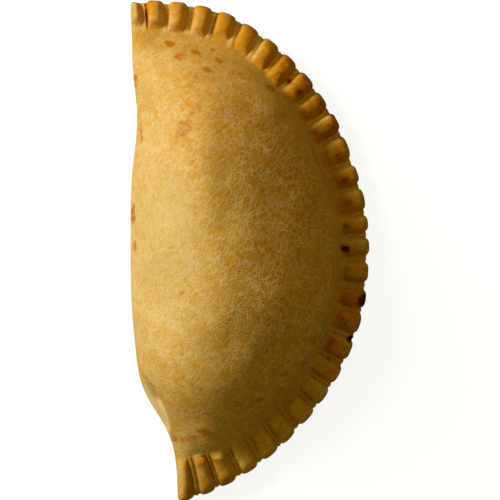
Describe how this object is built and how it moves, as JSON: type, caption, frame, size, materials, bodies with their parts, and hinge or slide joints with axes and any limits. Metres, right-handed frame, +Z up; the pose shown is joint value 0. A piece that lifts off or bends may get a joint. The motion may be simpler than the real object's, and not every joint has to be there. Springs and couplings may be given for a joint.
{
  "type": "cornish pasty",
  "caption": "Half-moon pastry case domed over its filling, folded along one long side and closed by a row of crimped lobes along the curved side, flat underneath",
  "frame": {"origin": "centre of the footprint's bounding box, on the flat base", "axes": "+Z up; +Y along the pasty from its tail to its nose; +X across it from the fold to the crimp"},
  "size_m": [0.0912, 0.1918, 0.042],
  "materials": {
    "baked_pastry": "matte, dry baked shortcrust, golden brown with darker browning on the crimp"
  },
  "bodies": {
    "root": {"pasty": "baked_pastry"}
  },
  "joints": []
}
